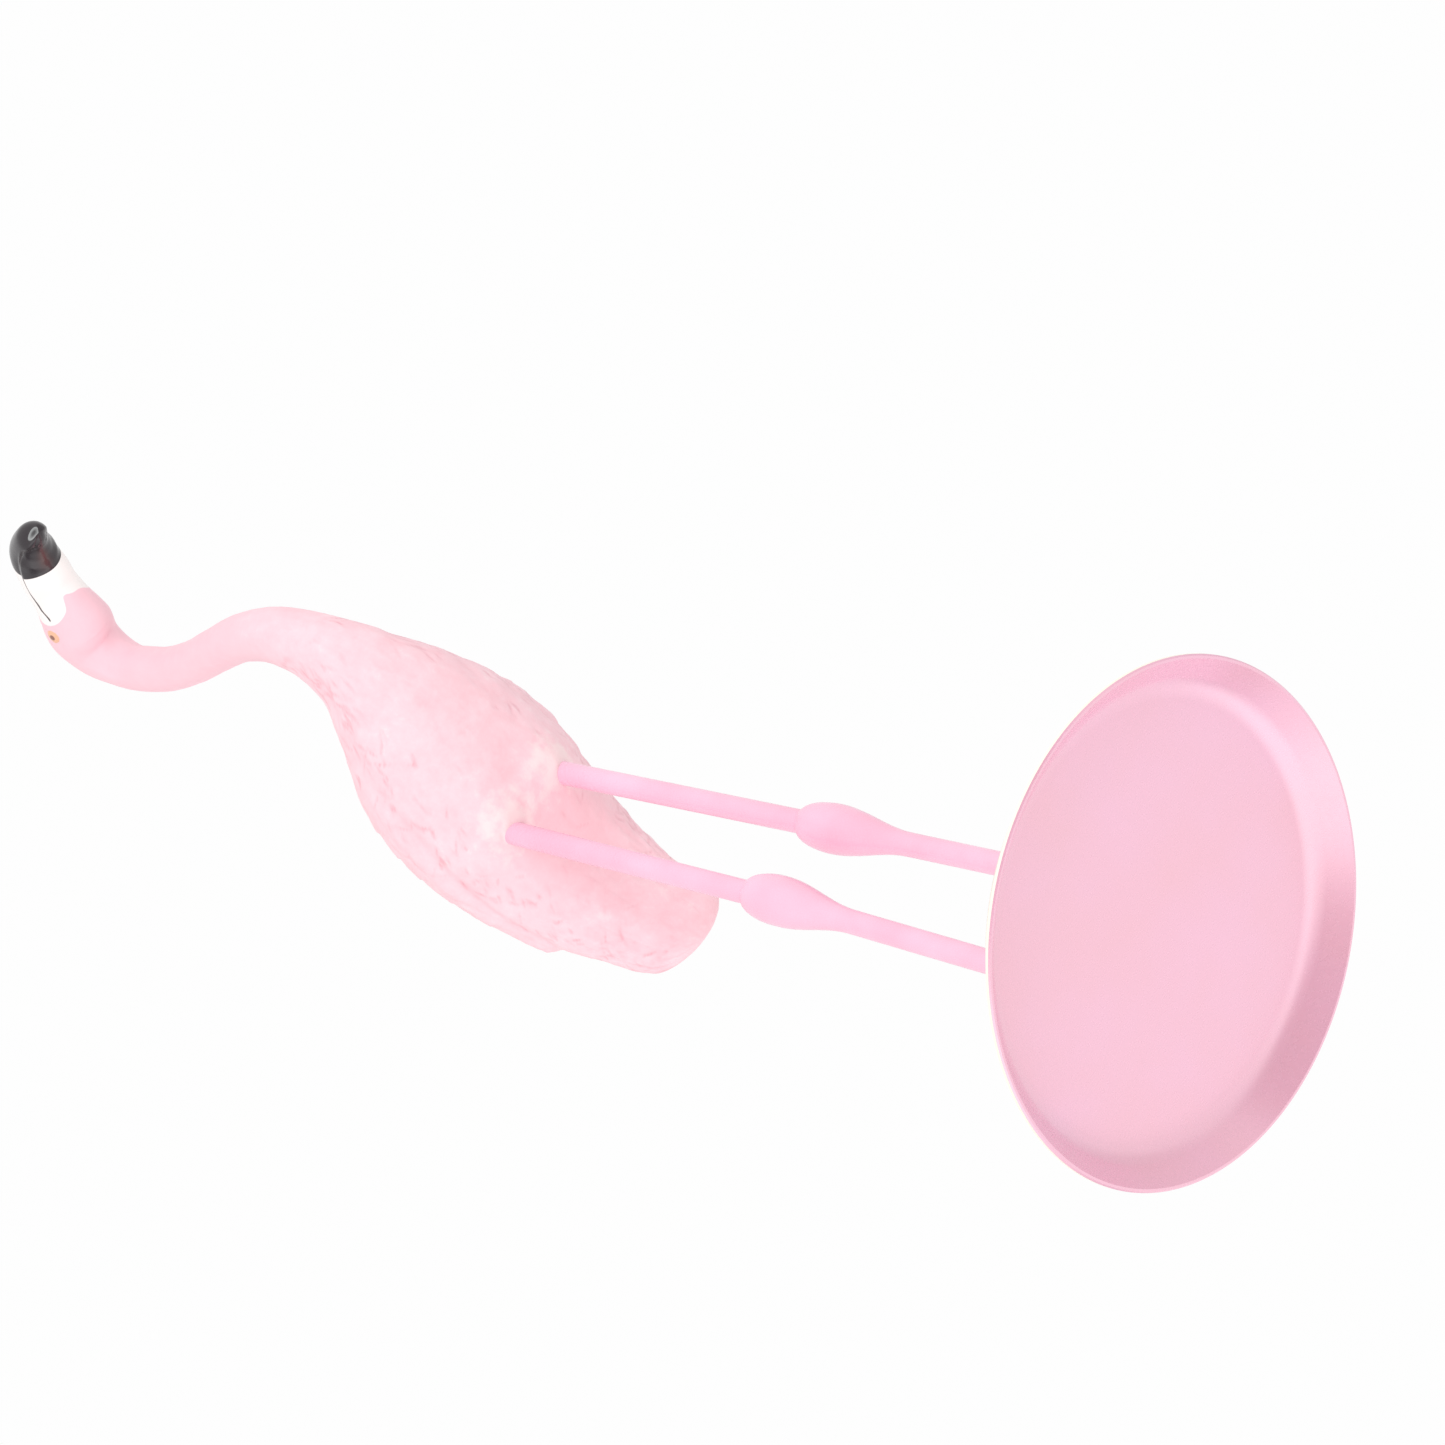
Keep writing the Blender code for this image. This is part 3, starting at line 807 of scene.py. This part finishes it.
def bird_paint():
    """Pale pink resin with painted shade in the carving and behind the legs, a white bill, a glossy black
    bill end with a painted highlight and reflection, and eyes.
    """
    g = Graph(bpy.data.materials.new("flamingo_paint"))
    spot = g.place()
    cloud = g.noise(spot, CLOUD_SIZE, 3)
    blotch = g.noise(spot, BLOTCH_SIZE, 3)
    fleck = g.noise(spot, FLECK_SIZE, 4, 0.7)
    tone = g.field("tone")
    for pattern, change in zip((cloud, blotch, fleck), TONE_CHANGES):
        tone = g.maths("ADD", tone, g.spread(pattern, -change, change))
    colour = g.mix(g.remap(tone, *PALE_TONE), DEEP_PINK, PALE_PINK)
    colour = g.mix(g.remap(tone, *LIGHT_TONE, 0, LIGHT_SHARE), colour, WHITE_PINK)
    colour = g.mix(g.maths("MULTIPLY", g.field("neck"), NECK_SHARE), colour, NECK_PINK)
    # Painted shade: deeper pink in the hollow behind and between the legs
    colour = g.mix(g.maths("MULTIPLY", g.field("hollow"), HOLLOW_SHADE_SHARE), colour, DEEP_PINK)
    tuft = g.maths("ADD", g.field("tuft"), g.spread(blotch, -TUFT_RAGGED, TUFT_RAGGED))
    colour = g.mix(g.remap(tuft, *TUFT_EDGE, 0, TUFT_SHARE), colour, WHITE_PINK)
    # Painted shade: deeper pink in the cut strokes, the crevice and along the feather shafts
    wash = g.maths("MULTIPLY", g.field("wash"), g.remap(blotch, *CARVING_SHADE_EDGE, *CARVING_SHADE_SHARES))
    colour = g.mix(wash, colour, CARVING_SHADE_PINK)
    white = g.remap(g.field("white"), -WHITE_EDGE, WHITE_EDGE)
    colour = g.mix(white, colour, BEAK_WHITE)
    black = g.remap(g.field("black"), -PAINT_EDGE, PAINT_EDGE)
    # Painted reflection: a reddish-brown patch on the black, standing for the pink body mirrored in it
    colour = g.mix(black, colour, g.mix(g.field("rust"), BEAK_BLACK, BEAK_REFLECTED_PINK))
    # Painted highlight: the raised nail at the beak's end is lighter grey, darker at a dot in its middle
    nail = g.remap(g.field("nail"), *NAIL_EDGE, 1, 0)
    highlight_dot = g.remap(g.field("nail"), HIGHLIGHT_DOT, HIGHLIGHT_DOT_EDGE, HIGHLIGHT_DOT_SHARE, 1)
    nail = g.maths("MULTIPLY", nail, highlight_dot)
    colour = g.mix(nail, colour, NAIL_HIGHLIGHT_GREY)
    # Mouth line: dark grey on the pink and white; on the black, a faint lighter line that is a painted
    # highlight along the mouth's edge
    mouth = g.remap(g.field("mouth"), *MOUTH_EDGE, 1, 0)
    mouth = g.maths("MULTIPLY", mouth, g.remap(black, 0, 1, 1, MOUTH_HIGHLIGHT_ON_BLACK))
    colour = g.mix(mouth, colour, MOUTH_GREY)
    colour = g.mix(g.remap(g.field("nostril"), *NOSTRIL_EDGE, 1, 0), colour, MOUTH_GREY)
    eye = g.disc("eye", EYE_RADIUS)
    colour = g.mix(eye, colour, EYE_ORANGE)
    colour = g.mix(g.disc("eye", PUPIL_RADIUS), colour, PUPIL_BROWN)
    rough = g.spread(fleck, *BIRD_ROUGHNESS)
    rough = g.maths("SUBTRACT", rough, g.maths("MULTIPLY", white, WHITE_SMOOTHER))
    glossy = g.maths("MAXIMUM", black, eye)
    rough = g.maths("SUBTRACT", rough, g.maths("MULTIPLY", glossy, BLACK_SMOOTHER))
    grain = g.noise(spot, PORE_SIZE, 3, 0.6)
    return g.set(Base_Color=colour, Roughness=rough, Normal=g.bump(grain, *BIRD_BUMP))


# The legs


def knee_share(rise):
    """Share of the knee's swelling at a height above the knee: blunt above, a long taper below."""
    if rise > 0:
        return math.sqrt(max(1 - (rise / KNEE_RISE) ** 2, 0))
    return 0.5 + 0.5 * math.cos(math.pi * min(-rise / KNEE_FALL, 1))


def leg_points(side):
    """Middles of the ankle, the knee and the hip, for the left side 1 or the right side -1."""
    foot = np.array([FOOT[0], BASE_TOP, side * FOOT[2]])
    knee = np.array([KNEE[0], KNEE[1], side * KNEE[2]])
    hip = np.array([HIP[0], HIP[1], side * HIP[2]])
    return foot, knee, hip


def leg_path(side):
    """Points of the leg from inside the foot to inside the bird, each with its radius."""
    foot, knee, hip = leg_points(side)
    thigh = (hip - knee) / np.linalg.norm(hip - knee)
    start = foot + (knee - foot) * 0.5 * WEB_THICKNESS / (knee[1] - foot[1])
    end = hip + thigh * LEG_END
    shank = knee - start
    shank_length = np.linalg.norm(shank)
    taper = [1 - step / KNEE_FALL_STEPS for step in range(KNEE_FALL_STEPS + 1)]
    below = [0, shank_length / 2] + [shank_length - KNEE_FALL * share for share in taper]
    path = [(start + shank * distance / shank_length, distance - shank_length) for distance in below]
    steps = range(1, KNEE_RISE_STEPS + 1)
    above = [KNEE_RISE * math.sin(math.pi / 2 * step / KNEE_RISE_STEPS) for step in steps]
    path += [(knee + thigh * rise, rise) for rise in above]
    path.append((end, np.linalg.norm(end - knee)))
    return [(point, LEG_RADIUS + KNEE_SWELL * knee_share(rise)) for point, rise in path]


def foot_height(reach, turn):
    """Top of the foot above its sole: three jointed toes on a thin web, swelling towards the ankle."""
    height = WEB_THICKNESS
    for toe in (-1, 0, 1):
        away = reach * math.sin(abs(turn - toe * TOE_SPREAD))
        ridge = math.exp(-((away / TOE_WIDTH) ** 2))
        joint = JOINT_RISE * (0.5 - 0.5 * math.cos(2 * math.pi * TOE_JOINTS * reach / FOOT_LENGTH))
        height += ridge * (TOE_RISE * (1 - TOE_FADE * reach / FOOT_LENGTH) + joint)
    return height


def foot_reach(turn):
    """Length of the foot in a direction: full at each toe, drawn in between the toes, short at the heel."""
    web = TOE_SPREAD + WEB_PAST_TOE
    if abs(turn) > web:
        fall = min((abs(turn) - web) / HEEL_TURN, 1)
        return FOOT_HEEL + (FOOT_LENGTH - FOOT_HEEL) * (1 - fall) ** 3 * HEEL_START
    between = math.sin(math.pi * turn / TOE_SPREAD) ** 2
    return FOOT_LENGTH * (1 - WEB_SCALLOP * between)


def make_foot(name, side):
    """The foot as rings around the ankle, on the base's top, with a flat sole."""
    ankle = leg_points(side)[0]
    turns = [math.pi * (2 * (index + 0.5) / FOOT_SIDES - 1) for index in range(FOOT_SIDES)]
    heading = side * TOE_TURN_OUT
    points = [place(ankle[0], ankle[1] + foot_height(0, 0), ankle[2]), place(*ankle)]
    for ring in range(1, FOOT_RINGS + 1):
        share = math.sin(math.pi / 2 * ring / FOOT_RINGS)
        edge = 1 - (1 - FOOT_EDGE) * smooth_step(share, FOOT_EDGE_START, 1)
        for turn in turns:
            reach = foot_reach(turn) * share
            up = ankle[1] + foot_height(reach, turn) * edge
            forward = ankle[0] + reach * math.cos(turn + heading)
            points.append(place(forward, up, ankle[2] + reach * math.sin(turn + heading)))
    for turn in turns:
        reach = foot_reach(turn)
        forward = ankle[0] + reach * math.cos(turn + heading)
        points.append(place(forward, ankle[1], ankle[2] + reach * math.sin(turn + heading)))
    faces = []
    for index in range(FOOT_SIDES):
        other = (index + 1) % FOOT_SIDES
        faces.append((0, 2 + index, 2 + other))
        for ring in range(FOOT_RINGS):
            near = 2 + ring * FOOT_SIDES
            far = near + FOOT_SIDES
            faces.append((near + index, far + index, far + other, near + other))
        sole = 2 + FOOT_RINGS * FOOT_SIDES
        faces.append((1, sole + other, sole + index))
    return smooth_mesh(name, points, faces)


def make_leg(name, side):
    """A round rod with its knee in the radius, joined to its webbed foot."""
    curve = bpy.data.curves.new(name + "_line", "CURVE")
    curve.dimensions = "3D"
    curve.bevel_depth = 1
    curve.bevel_resolution = LEG_ROUNDNESS
    curve.use_fill_caps = True
    path = leg_path(side)
    rod = curve.splines.new("POLY")
    rod.points.add(len(path) - 1)
    for point, (spot, radius) in zip(rod.points, path):
        point.co = (*place(*spot), 1)
        point.radius = radius * MM
    guide = bpy.data.objects.new(name + "_line", curve)
    bpy.context.scene.collection.objects.link(guide)
    leg = bpy.data.objects.new(name, shape_of(guide))
    bpy.data.objects.remove(guide)
    bpy.context.scene.collection.objects.link(leg)
    foot = make_foot(name + "_foot", side)
    turn_outwards(leg)
    turn_outwards(foot)
    union = leg.modifiers.new("foot", "BOOLEAN")
    union.operation = "UNION"
    union.object = foot
    leg.data = shape_of(leg)
    leg.modifiers.clear()
    bpy.data.objects.remove(foot)
    leg.data.materials.clear()
    leg.data.materials.append(leg_paint())
    leg.data.shade_smooth()
    leg.data.set_sharp_from_angle(angle=LEG_SHARP_ANGLE)
    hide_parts("leg_left" if side > 0 else "leg_right")
    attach(leg, "root")


def leg_paint():
    """Smooth glossy pink with faint cloudy changes of tone."""
    g = Graph(bpy.data.materials.new("leg_resin"))
    spot = g.place()
    cloud = g.noise(spot, LEG_CLOUD_SIZE, 3)
    fleck = g.noise(spot, FLECK_SIZE, 3)
    colour = g.mix(g.remap(cloud, *LEG_TONE), LEG_DEEP_PINK, LEG_PINK)
    rough = g.spread(fleck, *LEG_ROUGHNESS)
    return g.set(Base_Color=colour, Roughness=rough, Normal=g.bump(cloud, *LEG_BUMP))


# The base


def falling_arc(start, top, radius, fall):
    """Points of an arc that is level where it starts, at its top, and falls outwards through an angle."""
    angles = [fall * step / CURVE_POINTS for step in range(CURVE_POINTS + 1)]
    return [(start + radius * math.sin(angle), top - radius * (1 - math.cos(angle))) for angle in angles]


def make_base():
    """The dish turned round its axis: ivory outside, glossy pink in the recess."""
    side_top = BASE_TOP - SHOULDER_RADIUS * (1 - math.cos(SIDE_SLOPE))
    side_run = (side_top - UPRIGHT_EDGE) / math.tan(SIDE_SLOPE)
    level = BASE_RADIUS - side_run - SHOULDER_RADIUS * math.sin(SIDE_SLOPE)
    top = [(level * step / LEVEL_RINGS, BASE_TOP) for step in range(LEVEL_RINGS)]
    shoulder = falling_arc(level, BASE_TOP, SHOULDER_RADIUS, SIDE_SLOPE)
    rim = [(BASE_RADIUS, UPRIGHT_EDGE), (BASE_RADIUS, RIM_CHAMFER), (BASE_RADIUS - RIM_CHAMFER, 0)]
    inner = BASE_RADIUS - RIM_WIDTH
    wall_drop = RECESS_DEPTH - RECESS_FILLET * (1 - math.cos(RECESS_SLOPE))
    flat = inner - wall_drop / math.tan(RECESS_SLOPE) - RECESS_FILLET * math.sin(RECESS_SLOPE)
    wall = falling_arc(flat, RECESS_DEPTH, RECESS_FILLET, RECESS_SLOPE) + [(inner, 0)]
    bottom = [(flat * step / LEVEL_RINGS, RECESS_DEPTH) for step in range(LEVEL_RINGS)]
    profile = top + shoulder + rim + wall[::-1] + bottom[::-1]
    points = []
    for index in range(BASE_SIDES):
        angle = 2 * math.pi * index / BASE_SIDES
        for radius, up in profile[1:-1]:
            points.append((radius * math.cos(angle), radius * math.sin(angle), up))
    points += [(0, 0, profile[0][1]), (0, 0, profile[-1][1])]
    count = len(profile) - 2
    faces = []
    for index in range(BASE_SIDES):
        here = index * count
        there = (index + 1) % BASE_SIDES * count
        faces.append((len(points) - 2, here, there))
        faces += [(here + row, here + row + 1, there + row + 1, there + row) for row in range(count - 1)]
        faces.append((here + count - 1, len(points) - 1, there + count - 1))
    spots = [tuple(BASE_CENTRE.xy.to_3d() + Vector(point) * MM) for point in points]
    base = smooth_mesh("round_base", spots, faces)
    turn_outwards(base)
    base.data.set_sharp_from_angle(angle=BASE_SHARP_ANGLE)
    base.data.materials.append(outside_paint())
    base.data.materials.append(dish_paint())
    lip = BASE_RADIUS - RIM_CHAMFER / 2
    for face in base.data.polygons:
        spot = face.center - BASE_CENTRE.xy.to_3d()
        under = face.normal.z < FACES_DOWN and spot.z < (RECESS_DEPTH + DISH_MARGIN) * MM
        face.material_index = int(under and spot.xy.length < lip * MM)
    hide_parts("base")
    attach(base, "root")


def outside_paint():
    """Ivory paint round the edge, turning to a pale sand colour over the top."""
    g = Graph(bpy.data.materials.new("base_ivory"))
    spot = g.place()
    up = g.node("ShaderNodeSeparateXYZ", 2, {0: spot})
    cloud = g.noise(spot, CLOUD_SIZE, 4)
    fleck = g.noise(spot, SAND_FLECK_SIZE, 3, 0.7)
    line = g.maths("ADD", up, g.maths("MULTIPLY", g.spread(cloud, -1, 1), IVORY_WAVE * MM))
    colour = g.mix(g.remap(fleck, *SAND_TONE, 0, SAND_SHARE), SAND, IVORY)
    colour = g.mix(g.remap(line, IVORY_END[0] * MM, IVORY_END[1] * MM), IVORY, colour)
    rough = g.spread(fleck, *SAND_ROUGHNESS)
    return g.set(Base_Color=colour, Roughness=rough, Normal=g.bump(fleck, *SAND_BUMP))


def dish_paint():
    """Glossy pink of the hollow underside."""
    g = Graph(bpy.data.materials.new("base_pink_gloss"))
    spot = g.place()
    cloud = g.noise(spot, DISH_CLOUD_SIZE, 3)
    fleck = g.noise(spot, DISH_FLECK_SIZE, 3)
    colour = g.mix(g.spread(cloud, 0, 1), DISH_DEEP_PINK, DISH_PINK)
    rough = g.spread(fleck, *DISH_ROUGHNESS)
    normal = g.bump(g.noise(spot, DISH_WAVE_SIZE, 2), *DISH_BUMP)
    return g.set(Base_Color=colour, Roughness=rough, IOR=DISH_IOR, Normal=normal)


# Stage


def make_camera():
    """The camera below the base, and its directions to the right, up and back."""
    back = Vector(
        (
            math.cos(CAMERA_ELEVATION) * math.sin(CAMERA_AZIMUTH),
            -math.cos(CAMERA_ELEVATION) * math.cos(CAMERA_AZIMUTH),
            math.sin(CAMERA_ELEVATION),
        )
    )
    level = Vector((0, 0, 1)).cross(back).normalized()
    over = back.cross(level)
    right = level * math.cos(CAMERA_ROLL) + over * math.sin(CAMERA_ROLL)
    up = over * math.cos(CAMERA_ROLL) - level * math.sin(CAMERA_ROLL)
    data = bpy.data.cameras.new("camera")
    data.sensor_width = SENSOR_WIDTH
    data.lens = LENS
    data.clip_start, data.clip_end = VIEW_RANGE
    camera = bpy.data.objects.new("camera", data)
    turn = Matrix((right, up, back)).transposed().to_4x4()
    camera.matrix_world = Matrix.Translation(place(CAMERA_FORWARD, CAMERA_UP, CAMERA_LEFT)) @ turn
    bpy.context.scene.collection.objects.link(camera)
    bpy.context.scene.camera = camera
    return right, up, back


def make_floor():
    """A pale floor under the base that is only seen from above: the photograph looks up from below it."""
    corners = [(x * FLOOR_SIZE, y * FLOOR_SIZE, 0) for x, y in ((-1, -1), (1, -1), (1, 1), (-1, 1))]
    floor = smooth_mesh("floor", corners, [(0, 1, 2, 3)])
    floor.location.z = -FLOOR_DROP
    g = Graph(bpy.data.materials.new("floor"))
    g.set(Base_Color=FLOOR_WHITE, Roughness=FLOOR_ROUGHNESS)
    clear = g.node("ShaderNodeBsdfTransparent", 0, {})
    below = g.node("ShaderNodeNewGeometry", "Backfacing", {})
    mixed = g.node("ShaderNodeMixShader", 0, {0: below, 1: g.shader.outputs[0], 2: clear})
    g.put(g.tree.nodes["Material Output"].inputs[0], mixed)
    floor.data.materials.append(g.owner)
    floor.visible_shadow = False
    floor.visible_diffuse = False
    floor.visible_glossy = False


def make_light(name, direction, size, energy):
    """A square soft light that faces the middle of the figure."""
    data = bpy.data.lights.new(name, "AREA")
    data.size = size
    data.energy = energy
    light = bpy.data.objects.new(name, data)
    middle = place(0, LIGHT_AIM, 0)
    toward = Vector(direction).normalized()
    light.location = middle + toward * LIGHT_DISTANCE
    light.rotation_euler = toward.to_track_quat("Z", "Y").to_euler()
    light.visible_camera = False
    light.visible_glossy = False
    bpy.context.scene.collection.objects.link(light)


def make_world(dark_sides, bright_side):
    """White surroundings: the camera sees them nearly pure white, and they light the figure softly.

    Shiny paint mirrors darker sides, the widest of them behind the camera, and a brighter side. A side
    is a direction, its reach and its strength.
    """
    g = Graph(bpy.data.worlds.new("studio"), "Background")
    toward = g.node("ShaderNodeTexCoord", "Generated", {})

    def nearness(direction, reach, strength):
        inputs = {0: toward, 1: direction.normalized()}
        share = g.node("ShaderNodeVectorMath", "Value", inputs, operation="DOT_PRODUCT")
        inputs = {0: share, 1: math.cos(reach), 2: math.cos(reach * 0.5), 3: 0, 4: strength}
        return g.node("ShaderNodeMapRange", 0, inputs, interpolation_type="SMOOTHSTEP")

    mirrored = 1
    for side in dark_sides:
        mirrored = g.maths("SUBTRACT", mirrored, nearness(*side))
    mirrored = g.maths("ADD", mirrored, nearness(*bright_side))
    glossy = g.node("ShaderNodeLightPath", "Is Glossy Ray", {})
    seen = g.node("ShaderNodeLightPath", "Is Camera Ray", {})
    strength = g.node("ShaderNodeMix", 0, {0: glossy, 2: SOFT_LIGHT, 3: mirrored})
    strength = g.node("ShaderNodeMix", 0, {0: seen, 2: strength, 3: SEEN_WHITE})
    bpy.context.scene.world = g.set(Color=(1, 1, 1), Strength=strength)


right, up, back = make_camera()
bpy.context.scene.view_settings.view_transform = "Standard"
make_floor()
# Sides of the room that shiny paint mirrors: direction, reach and strength
camera_side = (right * 0.1 + up * 0.28 + back * 0.95, math.radians(58), 1.0)
lower_side = (right * 0.2 - up * 0.95 - back * 0.2, math.radians(36), 0.7)
upper_side = (right * 0.6 + up * 0.75 - back * 0.24, math.radians(40), 0.4)
bright_side = (right * 0.47 - up * 0.7 + back * 0.54, math.radians(54), 0.9)
make_world((camera_side, lower_side, upper_side), bright_side)
# Lights: direction, size in metres and energy
make_light("key", up * 0.3 - right * 0.5 + back * 0.8, 0.6, 5)
make_light("low_fill", right * 0.5 - up * 0.8 + back * 0.3, 0.35, 2.6)

make_bird()
make_leg("leg_left_visual", 1)
make_leg("leg_right_visual", -1)
make_base()
